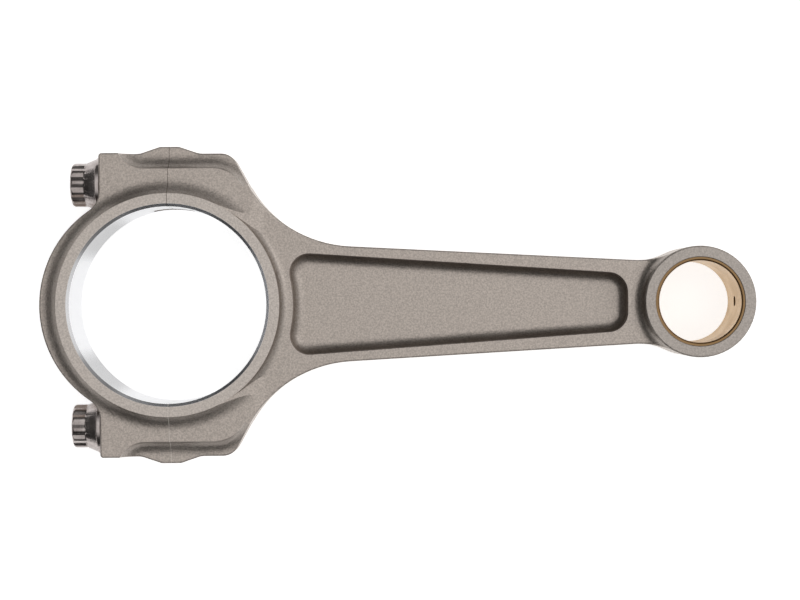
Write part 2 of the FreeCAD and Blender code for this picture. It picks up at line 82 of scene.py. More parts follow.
class Graph:
    """A node tree, with short ways to add nodes to it and link them."""

    def __init__(self, tree: bpy.types.NodeTree) -> None:
        """Start on a tree.

        Args:
            tree: The node tree that gets the nodes.
        """
        self.tree = tree

    def add(self, kind: str, **settings: object) -> bpy.types.Node:
        """Add one node.

        Args:
            kind: The node's type name.
            **settings: Properties to set on the node.

        Returns:
            The new node.
        """
        node = self.tree.nodes.new(kind)
        for name, value in settings.items():
            setattr(node, name, value)
        return node

    def feed(self, socket: Socket, value: object) -> None:
        """Link a socket to another, or set its value.

        Args:
            socket: The input to fill.
            value: An output socket, or a plain value.
        """
        if isinstance(value, bpy.types.NodeSocket):
            self.tree.links.new(value, socket)
        else:
            socket.default_value = value

    def calc(self, operation: str, *values: object, clamp: bool = False) -> Socket:
        """Add a Math node.

        Args:
            operation: The node's operation.
            *values: One value or socket for each input.
            clamp: Whether to hold the result between 0 and 1.

        Returns:
            The result's socket.
        """
        node = self.add("ShaderNodeMath", operation=operation, use_clamp=clamp)
        for socket, value in zip(node.inputs, values):
            self.feed(socket, value)
        return node.outputs[0]

    def lift(self, value: object, base: float, reach: float) -> Socket:
        """Turn a value between 0 and 1 into one between base and base + reach.

        Args:
            value: The value or socket.
            base: The result where the value is 0.
            reach: How much more the result is where the value is 1.

        Returns:
            The result's socket.
        """
        return self.calc("MULTIPLY_ADD", value, reach, base)

    def ramp(self, value: object, low: float, high: float) -> Socket:
        """Rise smoothly from 0 at low to 1 at high. It falls instead if low is above high.

        Args:
            value: The value or socket to map.
            low: Where the result is 0.
            high: Where the result is 1.

        Returns:
            The result's socket.
        """
        node = self.add("ShaderNodeMapRange", interpolation_type="SMOOTHSTEP")
        falling = low > high
        self.feed(node.inputs["Value"], value)
        node.inputs["From Min"].default_value = min(low, high)
        node.inputs["From Max"].default_value = max(low, high)
        node.inputs["To Min"].default_value = 1.0 if falling else 0.0
        node.inputs["To Max"].default_value = 0.0 if falling else 1.0
        return node.outputs["Result"]

    def blend(self, factor: object, first: object, second: object) -> Socket:
        """Mix two colours.

        Args:
            factor: 0 gives the first colour and 1 the second.
            first: A colour or a socket.
            second: A colour or a socket.

        Returns:
            The mixed colour's socket.
        """
        node = self.add("ShaderNodeMix", data_type="RGBA")
        sockets = [s for s in node.inputs if s.type == "RGBA"]
        self.feed(node.inputs[0], factor)
        for socket, value in zip(sockets, (first, second)):
            self.feed(socket, (*value, 1.0) if isinstance(value, tuple) else value)
        return next(s for s in node.outputs if s.type == "RGBA")

    def tint(self, colour: object, gain: object) -> Socket:
        """Multiply a colour by one value.

        Args:
            colour: A colour or a socket.
            gain: The value or socket to multiply by.

        Returns:
            The result's socket.
        """
        node = self.add("ShaderNodeVectorMath", operation="SCALE")
        self.feed(node.inputs[0], colour)
        self.feed(node.inputs["Scale"], gain)
        return node.outputs["Vector"]

    def between(self, factor: object, low: object, high: object) -> Socket:
        """Mix two plain values.

        Args:
            factor: 0 gives low and 1 gives high.
            low: A value or socket.
            high: A value or socket.

        Returns:
            The result's socket.
        """
        node = self.add("ShaderNodeMix", data_type="FLOAT")
        sockets = [s for s in node.inputs if s.type == "VALUE"]
        for socket, value in zip(sockets, (factor, low, high)):
            self.feed(socket, value)
        return node.outputs[0]


class SurfaceEffects:
    """Node groups that more than one finish uses. Each is built once."""

    def __init__(self) -> None:
        """Build the groups."""
        self.grain = self._make_grain()
        self.patina = self._make_patina()
        self.radial = self._make_radial()
        self.lay = self._make_lay()

    @staticmethod
    def _group(name: str, inputs: dict[str, object], outputs: list[str]) -> tuple[Graph, object, object]:
        """Start a group with named sockets.

        Args:
            name: The group's name.
            inputs: Each input's name and default. None makes it a vector.
            outputs: The names of the plain outputs.

        Returns:
            The graph, the group's input node and its output node.
        """
        tree = bpy.data.node_groups.new(name, "ShaderNodeTree")
        for label, value in inputs.items():
            kind = "NodeSocketVector" if value is None else "NodeSocketFloat"
            socket = tree.interface.new_socket(label, in_out="INPUT", socket_type=kind)
            if value is not None:
                socket.default_value = value
        for label in outputs:
            tree.interface.new_socket(label, in_out="OUTPUT", socket_type="NodeSocketFloat")
        graph = Graph(tree)
        return graph, graph.add("NodeGroupInput"), graph.add("NodeGroupOutput")

    def _make_grain(self) -> bpy.types.NodeTree:
        """Small overlapping dents and specks, as shot peening leaves them.

        Returns:
            The node group.
        """
        graph, given, out = self._group(
            "peened_grain", {"Vector": None, "Dents Per Metre": 1500.0}, ["Height", "Speck"])
        dents = graph.add("ShaderNodeTexVoronoi", feature="SMOOTH_F1")
        graph.feed(dents.inputs["Vector"], given.outputs["Vector"])
        graph.feed(dents.inputs["Scale"], given.outputs["Dents Per Metre"])
        dents.inputs["Smoothness"].default_value = 0.6
        finer = graph.calc("MULTIPLY", given.outputs["Dents Per Metre"], 2.1)
        specks = graph.add("ShaderNodeTexNoise")
        graph.feed(specks.inputs["Vector"], given.outputs["Vector"])
        graph.feed(specks.inputs["Scale"], finer)
        specks.inputs["Detail"].default_value = 3.0
        specks.inputs["Roughness"].default_value = 0.65
        speck = graph.ramp(specks.outputs["Fac"], 0.3, 0.7)
        height = graph.calc("MULTIPLY_ADD", speck, 0.5, dents.outputs["Distance"])
        graph.feed(out.inputs["Height"], height)
        graph.feed(out.inputs["Speck"], speck)
        return graph.tree

    def _make_patina(self) -> bpy.types.NodeTree:
        """Slow clouds of tone, as oil and handling leave them.

        Returns:
            The node group.
        """
        graph, given, out = self._group(
            "patina", {"Vector": None, "Clouds Per Metre": 60.0}, ["Cloud"])
        cloud = graph.add("ShaderNodeTexNoise")
        graph.feed(cloud.inputs["Vector"], given.outputs["Vector"])
        graph.feed(cloud.inputs["Scale"], given.outputs["Clouds Per Metre"])
        cloud.inputs["Detail"].default_value = 4.0
        cloud.inputs["Distortion"].default_value = 0.4
        graph.feed(out.inputs["Cloud"], graph.ramp(cloud.outputs["Fac"], 0.3, 0.7))
        return graph.tree

    def _make_radial(self) -> bpy.types.NodeTree:
        """Distance from an axis along Z, and a mask for a band of it.

        Returns:
            The node group.
        """
        graph, given, out = self._group(
            "axis_band",
            {"Vector": None, "Axis X": 0.0, "From Radius": 0.0, "To Radius": 1.0},
            ["Radius", "Angle", "Band"])
        parts = graph.add("ShaderNodeSeparateXYZ")
        graph.feed(parts.inputs[0], given.outputs["Vector"])
        x = graph.calc("SUBTRACT", parts.outputs["X"], given.outputs["Axis X"])
        y = parts.outputs["Y"]
        squares = graph.calc("MULTIPLY_ADD", x, x, graph.calc("MULTIPLY", y, y))
        radius = graph.calc("SQRT", squares)
        above = graph.calc("GREATER_THAN", radius, given.outputs["From Radius"])
        below = graph.calc("LESS_THAN", radius, given.outputs["To Radius"])
        graph.feed(out.inputs["Radius"], radius)
        graph.feed(out.inputs["Angle"], graph.calc("ARCTAN2", y, x))
        graph.feed(out.inputs["Band"], graph.calc("MULTIPLY", above, below))
        return graph.tree

    def _make_lay(self) -> bpy.types.NodeTree:
        """Fine uneven lines across one direction, as turning and grinding leave them.

        Returns:
            The node group.
        """
        graph, given, out = self._group(
            "tool_marks", {"Across": 0.0, "Along": 0.0, "Lines Per Metre": 4000.0}, ["Line"])
        seed = graph.add("ShaderNodeCombineXYZ")
        across = graph.calc("MULTIPLY", given.outputs["Across"], given.outputs["Lines Per Metre"])
        graph.feed(seed.inputs["X"], across)
        graph.feed(seed.inputs["Y"], graph.calc("MULTIPLY", given.outputs["Along"], 40.0))
        marks = graph.add("ShaderNodeTexNoise")
        graph.feed(marks.inputs["Vector"], seed.outputs[0])
        marks.inputs["Scale"].default_value = 1.0
        marks.inputs["Detail"].default_value = 2.0
        graph.feed(out.inputs["Line"], graph.ramp(marks.outputs["Fac"], 0.3, 0.7))
        return graph.tree


class Finish:
    """The parts that every metal finish shares."""

    name: str = "finish"

    def start(self) -> tuple[bpy.types.Material, Graph, bpy.types.Node, bpy.types.Node]:
        """Make a material with a Principled shader.

        Returns:
            The material, its graph, the shader and the texture coordinates.
        """
        material = bpy.data.materials.new(self.name)
        material.use_nodes = True
        material.node_tree.nodes.clear()
        graph = Graph(material.node_tree)
        shader = graph.add("ShaderNodeBsdfPrincipled")
        output = graph.add("ShaderNodeOutputMaterial")
        graph.feed(output.inputs["Surface"], shader.outputs["BSDF"])
        shader.inputs["Metallic"].default_value = 1.0
        return material, graph, shader, graph.add("ShaderNodeTexCoord")

    @staticmethod
    def place(graph: Graph, group: bpy.types.NodeTree, **inputs: object) -> bpy.types.Node:
        """Place a shared group in a material.

        Args:
            graph: The material's graph.
            group: The group to place.
            **inputs: Each input's name, with _ for a space, and its value or socket.

        Returns:
            The group node.
        """
        node = graph.add("ShaderNodeGroup", node_tree=group)
        for label, value in inputs.items():
            graph.feed(node.inputs[label.replace("_", " ")], value)
        return node

    @staticmethod
    def bump(graph: Graph, shader: bpy.types.Node, height: object, depth: float) -> None:
        """Feed a height to the shader's normal.

        Args:
            graph: The material's graph.
            shader: The Principled shader.
            height: The height's socket.
            depth: The depth of a height of 1, in metres.
        """
        node = graph.add("ShaderNodeBump")
        node.inputs["Distance"].default_value = depth
        graph.feed(node.inputs["Height"], height)
        graph.feed(shader.inputs["Normal"], node.outputs["Normal"])


@dataclass(frozen=True)
class ForgedPlaces:
    """Where a point of the forging is, and masks for the kinds of surface on it."""

    place: Socket
    parts: bpy.types.Node
    facing: bpy.types.Node
    crank: bpy.types.Node
    flat: Socket
    honed: Socket
    seam: Socket


@dataclass(frozen=True)
class ForgedSteel(Finish):
    """Peened forging, with ground thrust faces, a honed bore and milled joint faces, and painted shade,
    painted reflections and a painted highlight in its colour.
    """

    name: str = "forged_steel"
    skin: Colour = (0.50, 0.447, 0.405)
    skin_dark: Colour = (0.43, 0.38, 0.343)
    skin_evenness: float = 0.55
    ground: Colour = (0.47, 0.427, 0.392)
    honed: Colour = (0.66, 0.665, 0.68)
    seam: Colour = (0.10, 0.085, 0.075)
    # Painted highlight on the lower (-Y) half of the parting line; the upper half keeps the dark joint
    # colour.
    painted_seam_highlight: Colour = (0.78, 0.74, 0.70)
    eye_axis_x: float = 152.4 * MM
    face_height: float = 11.94 * MM
    bore_radius: float = 28.26 * MM
    chamfer: float = 0.8 * MM
    slack: float = 0.02 * MM
    seam_half_width: float = 0.07 * MM
    seam_turn: float = 1.0 * MM
    dents_per_metre: float = 950.0
    clouds_per_metre: float = 45.0
    turned_lines: float = 5200.0
    honing_lines: float = 4200.0
    honing_lean: float = 0.7
    dent_depth: float = 0.045 * MM
    turned_relief: float = 0.12
    honing_relief: float = 0.06
    skin_tone: tuple[float, float] = (0.78, 0.44)
    face_tone: tuple[float, float] = (0.82, 0.36)
    # Painted shade: the share by which sloped faces such as coves and pocket walls are darkened.
    cove_shade: float = 0.33
    ring_gain: float = 1.08
    eye_gain: float = 0.87
    # Painted reflection: how much darker the bore is made in streaks round its axis, standing in for
    # dark surroundings reflected in it.
    painted_reflection_depth: float = 0.50
    painted_reflection_streaks: float = 4.0
    flat_roughness: float = 0.36
    honed_roughness: float = 0.24
    seam_roughness: float = 0.7

    def build(self, effects: SurfaceEffects) -> bpy.types.Material:
        """Build the material.

        Args:
            effects: The shared node groups.

        Returns:
            The material.
        """
        material, graph, shader, coords = self.start()
        spot = self._find_places(graph, effects, coords)
        grain = self.place(
            graph, effects.grain, Vector=spot.place, Dents_Per_Metre=self.dents_per_metre)
        patina = self.place(
            graph, effects.patina, Vector=spot.place, Clouds_Per_Metre=self.clouds_per_metre)
        speck, cloud = grain.outputs["Speck"], patina.outputs["Cloud"]
        graph.feed(shader.inputs["Base Color"], self._colour(graph, spot, speck, cloud))
        graph.feed(shader.inputs["Roughness"], self._roughness(graph, spot, speck, cloud))
        relief = self._relief(graph, effects, spot, grain.outputs["Height"])
        self.bump(graph, shader, relief, self.dent_depth)
        return material

    def _find_places(
            self, graph: Graph, effects: SurfaceEffects, coords: bpy.types.Node) -> ForgedPlaces:
        """Mask the ground and milled flats, the honed bore and the parting line.

        Args:
            graph: The material's graph.
            effects: The shared node groups.
            coords: The texture coordinates.

        Returns:
            The places and masks.
        """
        place = coords.outputs["Object"]
        parts = graph.add("ShaderNodeSeparateXYZ")
        graph.feed(parts.inputs[0], place)
        facing = graph.add("ShaderNodeSeparateXYZ")
        graph.feed(facing.inputs[0], coords.outputs["Normal"])
        height = graph.calc("ABSOLUTE", parts.outputs["Z"])
        from_seam = graph.calc("ABSOLUTE", parts.outputs["X"])
        facing_seam = graph.calc("GREATER_THAN", graph.calc("ABSOLUTE", facing.outputs["X"]), 0.9)
        near_seam = graph.calc("LESS_THAN", from_seam, self.seam_half_width)
        milled = graph.calc("MULTIPLY", near_seam, facing_seam)
        seam = graph.calc("SUBTRACT", near_seam, milled, clamp=True)
        ground = graph.ramp(height, self.face_height - 3 * self.slack, self.face_height - self.slack)
        crank = self.place(
            graph, effects.radial, Vector=place, To_Radius=self.bore_radius + 2.5 * self.slack)
        mouth = self.place(
            graph, effects.radial, Vector=place,
            To_Radius=self.bore_radius + self.chamfer + self.slack)
        high = graph.calc("GREATER_THAN", height, self.face_height - self.chamfer - self.slack / 2)
        chamfer = graph.calc("MULTIPLY", mouth.outputs["Band"], high)
        honed = graph.calc("MAXIMUM", crank.outputs["Band"], chamfer)
        flat = graph.calc("MAXIMUM", ground, milled)
        return ForgedPlaces(place, parts, facing, crank, flat, honed, seam)

    def _colour(self, graph: Graph, spot: ForgedPlaces, speck: Socket, cloud: Socket) -> Socket:
        """Colour the skin, the flats, the bore and the parting line, with painted shade on sloped faces,
        painted dark reflections in streaks round the bore and a painted highlight on the lower half of
        the parting line.

        Args:
            graph: The material's graph.
            spot: The places and masks.
            speck: The fine specks.
            cloud: The slow clouds.

        Returns:
            The colour's socket.
        """
        # Painted shade: faces that slope, neither flat nor upright, are darkened by cove_shade, as if in
        # shade.
        steep = graph.calc("ABSOLUTE", spot.facing.outputs["Z"])
        painted_slope_shade = graph.calc("MULTIPLY", graph.ramp(steep, 0.97, 0.75), graph.ramp(steep, 0.05, 0.3))
        tone = graph.calc(
            "MULTIPLY", graph.lift(speck, *self.skin_tone), graph.lift(painted_slope_shade, 1.0, -self.cove_shade))
        skin = graph.blend(cloud, self.skin_dark, self.skin)
        colour = graph.tint(graph.blend(self.skin_evenness, skin, self.skin), tone)

        x, y = spot.parts.outputs["X"], spot.parts.outputs["Y"]
        at_eye = graph.ramp(x, self.eye_axis_x / 2, self.eye_axis_x * 0.85)
        face_tone = graph.calc(
            "MULTIPLY", graph.lift(speck, *self.face_tone),
            graph.between(at_eye, self.ring_gain, self.eye_gain))
        colour = graph.blend(spot.flat, colour, graph.tint(self.ground, face_tone))

        # Painted reflection: the honed bore's colour is darkened in streaks by the angle round its axis,
        # standing in for dark surroundings seen in it.
        turn = graph.calc("MULTIPLY", spot.crank.outputs["Angle"], self.painted_reflection_streaks)
        dark = graph.ramp(graph.calc("COSINE", turn), -0.1, -0.9)
        bore_with_painted_reflections = graph.tint(self.honed, graph.lift(dark, 1.0, -self.painted_reflection_depth))
        colour = graph.blend(spot.honed, colour, bore_with_painted_reflections)
        # The parting line is a dark joint above the axis and gets a painted highlight below it.
        side = graph.ramp(y, -self.seam_turn, self.seam_turn)
        return graph.blend(spot.seam, colour, graph.blend(side, self.painted_seam_highlight, self.seam))

    def _roughness(self, graph: Graph, spot: ForgedPlaces, speck: Socket, cloud: Socket) -> Socket:
        """Roughen the skin most and the bore least.

        Args:
            graph: The material's graph.
            spot: The places and masks.
            speck: The fine specks.
            cloud: The slow clouds.

        Returns:
            The roughness's socket.
        """
        rough = graph.calc("MULTIPLY_ADD", cloud, 0.06, graph.lift(speck, 0.36, 0.08))
        rough = graph.between(spot.flat, rough, self.flat_roughness)
        rough = graph.between(spot.honed, rough, self.honed_roughness)
        return graph.between(spot.seam, rough, self.seam_roughness)

    def _relief(
            self, graph: Graph, effects: SurfaceEffects, spot: ForgedPlaces, dents: Socket) -> Socket:
        """Dent the skin, turn lines on the flats and cross the bore with honing.

        Args:
            graph: The material's graph.
            effects: The shared node groups.
            spot: The places and masks.
            dents: The height of the peened dents.

        Returns:
            The height's socket.
        """
        angle, z = spot.crank.outputs["Angle"], spot.parts.outputs["Z"]
        turned = self.place(
            graph, effects.lay, Across=spot.crank.outputs["Radius"], Along=angle,
            Lines_Per_Metre=self.turned_lines).outputs["Line"]
        around = graph.calc("MULTIPLY", angle, self.bore_radius)
        crossed = [
            self.place(
                graph, effects.lay, Across=graph.calc("MULTIPLY_ADD", around, lean, z), Along=around,
                Lines_Per_Metre=self.honing_lines).outputs["Line"]
            for lean in (self.honing_lean, -self.honing_lean)
        ]
        turned = graph.calc("MULTIPLY", turned, self.turned_relief)
        honing = graph.calc("MULTIPLY", graph.calc("ADD", *crossed), self.honing_relief)
        marks = graph.between(spot.honed, turned, honing)
        machined = graph.calc("MAXIMUM", spot.flat, spot.honed)
        return graph.between(machined, dents, marks)


@dataclass(frozen=True)
class PolishedSteel(Finish):
    """Dark polished alloy steel for the cap bolts."""

    name: str = "bolt_steel"
    bright: Colour = (0.50, 0.455, 0.44)
    dark: Colour = (0.30, 0.262, 0.252)
    clouds_per_metre: float = 260.0
    dents_per_metre: float = 2600.0
    turned_lines: float = 5200.0
    mark_depth: float = 0.012 * MM

    def build(self, effects: SurfaceEffects) -> bpy.types.Material:
        """Build the material.

        Args:
            effects: The shared node groups.

        Returns:
            The material.
        """
        material, graph, shader, coords = self.start()
        place = coords.outputs["Object"]
        parts = graph.add("ShaderNodeSeparateXYZ")
        graph.feed(parts.inputs[0], place)
        patina = self.place(
            graph, effects.patina, Vector=place, Clouds_Per_Metre=self.clouds_per_metre)
        cloud = patina.outputs["Cloud"]
        grain = self.place(graph, effects.grain, Vector=place, Dents_Per_Metre=self.dents_per_metre)
        turned = self.place(
            graph, effects.lay, Across=parts.outputs["X"], Along=parts.outputs["Z"],
            Lines_Per_Metre=self.turned_lines).outputs["Line"]
        colour = graph.blend(cloud, self.dark, self.bright)
        colour = graph.tint(colour, graph.lift(grain.outputs["Speck"], 0.9, 0.2))
        graph.feed(shader.inputs["Base Color"], colour)
        graph.feed(shader.inputs["Roughness"], graph.lift(cloud, 0.17, 0.08))
        relief = graph.calc("MULTIPLY_ADD", grain.outputs["Height"], 0.6, turned)
        self.bump(graph, shader, relief, self.mark_depth)
        return material


@dataclass(frozen=True)
class GroundSteel(Finish):
    """Clean ground steel for the dowel sleeves."""

    name: str = "dowel_steel"
    bright: Colour = (0.62, 0.61, 0.60)
    dull: Colour = (0.48, 0.47, 0.46)
    clouds_per_metre: float = 300.0
    ground_lines: float = 7000.0
    mark_depth: float = 0.006 * MM

    def build(self, effects: SurfaceEffects) -> bpy.types.Material:
        """Build the material.

        Args:
            effects: The shared node groups.

        Returns:
            The material.
        """
        material, graph, shader, coords = self.start()
        place = coords.outputs["Object"]
        parts = graph.add("ShaderNodeSeparateXYZ")
        graph.feed(parts.inputs[0], place)
        patina = self.place(
            graph, effects.patina, Vector=place, Clouds_Per_Metre=self.clouds_per_metre)
        cloud = patina.outputs["Cloud"]
        lines = self.place(
            graph, effects.lay, Across=parts.outputs["X"], Along=parts.outputs["Z"],
            Lines_Per_Metre=self.ground_lines).outputs["Line"]
        graph.feed(shader.inputs["Base Color"], graph.blend(cloud, self.dull, self.bright))
        graph.feed(shader.inputs["Roughness"], graph.lift(cloud, 0.2, 0.08))
        self.bump(graph, shader, lines, self.mark_depth)
        return material


@dataclass(frozen=True)
class HonedBronze(Finish):
    """Bronze with a honed bore and browner rims."""

    name: str = "bronze"
    bore: Colour = (0.62, 0.43, 0.225)
    rim: Colour = (0.30, 0.19, 0.095)
    stain: Colour = (0.50, 0.345, 0.18)
    axis_x: float = 152.4 * MM
    bore_radius: float = 11.775 * MM
    slack: float = 0.05 * MM
    stain_share: float = 0.6
    clouds_per_metre: float = 140.0
    dents_per_metre: float = 2400.0
    turned_lines: float = 3600.0
    mark_depth: float = 0.012 * MM

    def build(self, effects: SurfaceEffects) -> bpy.types.Material:
        """Build the material.

        Args:
            effects: The shared node groups.

        Returns:
            The material.
        """
        material, graph, shader, coords = self.start()
        place = coords.outputs["Object"]
        parts = graph.add("ShaderNodeSeparateXYZ")
        graph.feed(parts.inputs[0], place)
        axis = self.place(
            graph, effects.radial, Vector=place, Axis_X=self.axis_x,
            To_Radius=self.bore_radius + self.slack)
        patina = self.place(
            graph, effects.patina, Vector=place, Clouds_Per_Metre=self.clouds_per_metre)
        cloud = patina.outputs["Cloud"]
        grain = self.place(graph, effects.grain, Vector=place, Dents_Per_Metre=self.dents_per_metre)
        around = graph.calc("MULTIPLY", axis.outputs["Angle"], self.bore_radius)
        turned = self.place(
            graph, effects.lay, Across=parts.outputs["Z"], Along=around,
            Lines_Per_Metre=self.turned_lines).outputs["Line"]
        wall = graph.blend(graph.calc("MULTIPLY", cloud, self.stain_share), self.bore, self.stain)
        wall = graph.tint(wall, graph.lift(turned, 0.93, 0.14))
        colour = graph.blend(axis.outputs["Band"], self.rim, wall)
        colour = graph.tint(colour, graph.lift(grain.outputs["Speck"], 0.94, 0.12))
        graph.feed(shader.inputs["Base Color"], colour)
        graph.feed(shader.inputs["Roughness"], graph.lift(cloud, 0.33, 0.1))
        relief = graph.calc("MULTIPLY_ADD", grain.outputs["Height"], 0.3, turned)
        self.bump(graph, shader, relief, self.mark_depth)
        return material


@dataclass(frozen=True)
class PaleFloor(Finish):
    """A plain matt floor."""

    name: str = "pale_floor"
    colour: Colour = (0.85, 0.85, 0.85)
    glow: float = 0.74

    def build(self) -> bpy.types.Material:
        """Build the material.

        Returns:
            The material.
        """
        material, _, shader, _ = self.start()
        shader.inputs["Metallic"].default_value = 0.0
        shader.inputs["Base Color"].default_value = (*self.colour, 1.0)
        shader.inputs["Roughness"].default_value = 0.9
        shader.inputs["Emission Color"].default_value = (1.0, 1.0, 1.0, 1.0)
        shader.inputs["Emission Strength"].default_value = self.glow
        return material


@dataclass
class RodBody:
    """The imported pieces: the rod, its cap, the dowel sleeves and the bush."""

    forged_nodes: tuple[str, ...] = ("rod_body", "rod_cap")
    sleeve_nodes: tuple[str, ...] = ("dowel_sleeve_left", "dowel_sleeve_right")
    bush_node: str = "small_end_bush"
    crease_angle: float = math.radians(28.0)

    def dress(self, effects: SurfaceEffects) -> list[bpy.types.Object]:
        """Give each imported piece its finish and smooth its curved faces.

        Args:
            effects: The shared node groups.

        Returns:
            The pieces.
        """
        forged = ForgedSteel().build(effects)
        ground = GroundSteel().build(effects)
        bronze = HonedBronze().build(effects)
        finishes = {name: (forged, "forged_steel") for name in self.forged_nodes}
        finishes |= {name: (ground, "dowel_steel") for name in self.sleeve_nodes}
        finishes[self.bush_node] = (bronze, "bronze")
        dressed = []
        for name, (material, slot) in finishes.items():
            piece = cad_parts[name]
            piece.data.materials.clear()
            piece.data.materials.append(material)
            smooth(piece.data, self.crease_angle)
            dressed.append(piece)
        return dressed


@dataclass
class CapBolt:
    """A twelve-point cap bolt with a coned flange, a waisted shank and a cut thread."""

    side: Side
    across_flats: float = 11.4 * MM
    point_radius: float = 6.35 * MM
    point_height: float = 4.4 * MM
    point_foot: float = 0.75 * MM
    point_flare: float = 0.12 * MM
    crown_chamfer: float = 0.75 * MM
    crown_flat: float = 0.3 * MM
    crown_steps: int = 10
    recess_radius: float = 3.4 * MM
    recess_depth: float = 0.8 * MM
    flange_radius: float = 8.0 * MM
    cone_height: float = 2.9 * MM
    rim_height: float = 1.5 * MM
    rim_round: float = 0.3 * MM
    pilot_radius: float = 5.5 * MM
    pilot_length: float = 5.0 * MM
    waist_radius: float = 4.95 * MM
    waist_taper: float = 1.5 * MM
    thread_radius: float = 5.556 * MM
    thread_depth: float = 0.74 * MM
    thread_crest: float = 0.14
    thread_flank: float = 0.7
    thread_runout: float = 1.6
    thread_length: float = 16.5 * MM
    pitch: float = 1.27 * MM
    tip_chamfer: float = 1.0 * MM
    dimple_radius: float = 1.4 * MM
    dimple_depth: float = 1.0 * MM
    dimple_point: float = 0.05 * MM
    around: int = 144
    head_turns: tuple[int, int] = (2, -3)
    rows_per_pitch: int = 8
    crease_angle: float = math.radians(22.0)
    node: str = field(init=False)
    head_turn: int = field(init=False)

    def __post_init__(self) -> None:
        """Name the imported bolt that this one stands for, and set where its head stopped."""
        self.node = f"bolt_{self.side.value}"
        self.head_turn = self.head_turns[list(Side).index(self.side)]

    def _star(self, angle: float) -> float:
        """Find the outline of the head's two crossed hexagons, with their points turned off.

        Args:
            angle: The angle round the bolt's axis.

        Returns:
            The radius at that angle.
        """
        sixth = math.pi / 3
        flats = [self.across_flats / 2 / math.cos((angle - turn) % sixth - sixth / 2)
                 for turn in (0.0, sixth / 2)]
        return min(max(flats), self.point_radius)

    def _ring(self, mesh: bmesh.types.BMesh, centre: Vector, x: float, radii: list[float]) -> list:
        """Add a ring of vertices round the bolt's axis.

        Args:
            mesh: The mesh to add to.
            centre: A point on the axis.
            x: The ring's place along X.
            radii: One radius for each column.

        Returns:
            The ring's vertices.
        """
        turns = [2 * math.pi * column / self.around for column in range(self.around)]
        return [
            mesh.verts.new((x, centre.y + r * math.cos(t), centre.z + r * math.sin(t)))
            for r, t in zip(radii, turns)
        ]

    def _skin(
            self, mesh: bmesh.types.BMesh, centre: Vector,
            steps: list[tuple[float, list[float]]]) -> list[list]:
        """Add rings and the faces between them.

        Args:
            mesh: The mesh to add to.
            centre: A point on the axis.
            steps: Each ring's place along X and its radii.

        Returns:
            The rings.
        """
        rings = [self._ring(mesh, centre, x, radii) for x, radii in steps]
        for first, second in zip(rings, rings[1:]):
            for here in range(self.around):
                after = (here + 1) % self.around
                mesh.faces.new((first[here], first[after], second[after], second[here]))
        return rings

    def _head_rings(self, top: float) -> list[tuple[float, list[float]]]:
        """Rings of the head and flange, from the recess to the thread's start.

        Args:
            top: Where the head ends, along X.

        Returns:
            Each ring's place along X and its radii.
        """
        angles = [2 * math.pi * column / self.around for column in range(self.around)]
        star = [self._star(angle) for angle in angles]
        star = star[self.head_turn:] + star[:self.head_turn]
        cone = top + self.point_height
        rim = cone + self.cone_height
        seat = rim + self.rim_height
        floor = top + self.recess_depth
        neck = seat + self.pilot_length
        rings = self._circles([
            (floor + self.dimple_depth, self.dimple_point),
            (floor, self.dimple_radius),
            (floor, self.recess_radius - 0.35 * MM),
            (floor - 0.2 * MM, self.recess_radius - 0.1 * MM),
            (top + 0.15 * MM, self.recess_radius),
            (top, self.recess_radius + 0.2 * MM),
        ])
        crown = self.point_radius - self.crown_chamfer - self.crown_flat
        for step in range(self.crown_steps + 1):
            bend = math.pi / 2 * step / self.crown_steps
            reach = crown + (self.crown_chamfer + self.crown_flat) * math.sin(bend)
            x = top + self.crown_chamfer * 1.25 * (1 - math.cos(bend))
            rings.append((x, [min(reach, r) for r in star]))
        foot = self.point_radius + self.point_flare
        for share in (0.0, 0.25, 0.5, 0.75, 0.92, 1.0):
            x = cone - self.point_foot * (1 - share)
            rings.append((x, [r + (foot - r) * share ** 3 for r in star]))
        slope = self.flange_radius - self.rim_round * 0.3
        rings += self._circles([
            (rim, self.flange_radius - self.rim_round),
            (rim + self.rim_round * 0.4, slope),
            (rim + self.rim_round, self.flange_radius),
            (seat - self.rim_round, self.flange_radius),
            (seat - self.rim_round * 0.3, slope),
            (seat, self.flange_radius - self.rim_round),
            (seat, self.pilot_radius + 0.1 * MM),
            (seat + 0.1 * MM, self.pilot_radius),
            (neck, self.pilot_radius),
            (neck + self.waist_taper / 2, self.waist_radius + 0.12 * MM),
            (neck + self.waist_taper, self.waist_radius),
        ])
        return rings

    def _circles(self, steps: list[tuple[float, float]]) -> list[tuple[float, list[float]]]:
        """Make round rings.

        Args:
            steps: Each ring's place along X and its radius.

        Returns:
            Each ring's place along X and its radii.
        """
        return [(x, [radius] * self.around) for x, radius in steps]

    def _thread_radius_at(self, x: float, turns: float, start: float, tip: float) -> float:
        """Radius of the thread's surface.

        Args:
            x: The place along the axis.
            turns: How many turns along the helix, whose whole numbers are crests.
            start: Where the thread starts.
            tip: Where the bolt ends.

        Returns:
            The radius.
        """
        phase = abs(turns - round(turns)) * 2
        groove = min(max((phase - self.thread_crest) / self.thread_flank, 0.0), 1.0)
        fade = min(max((x - start) / (self.thread_runout * self.pitch), 0.0), 1.0)
        crest = self.waist_radius + (self.thread_radius - self.waist_radius) * fade
        root = self.thread_radius - self.thread_depth
        root = self.waist_radius + (root - self.waist_radius) * fade
        cut = crest + (root - crest) * groove
        return min(cut, self.thread_radius - self.tip_chamfer + (tip - x))

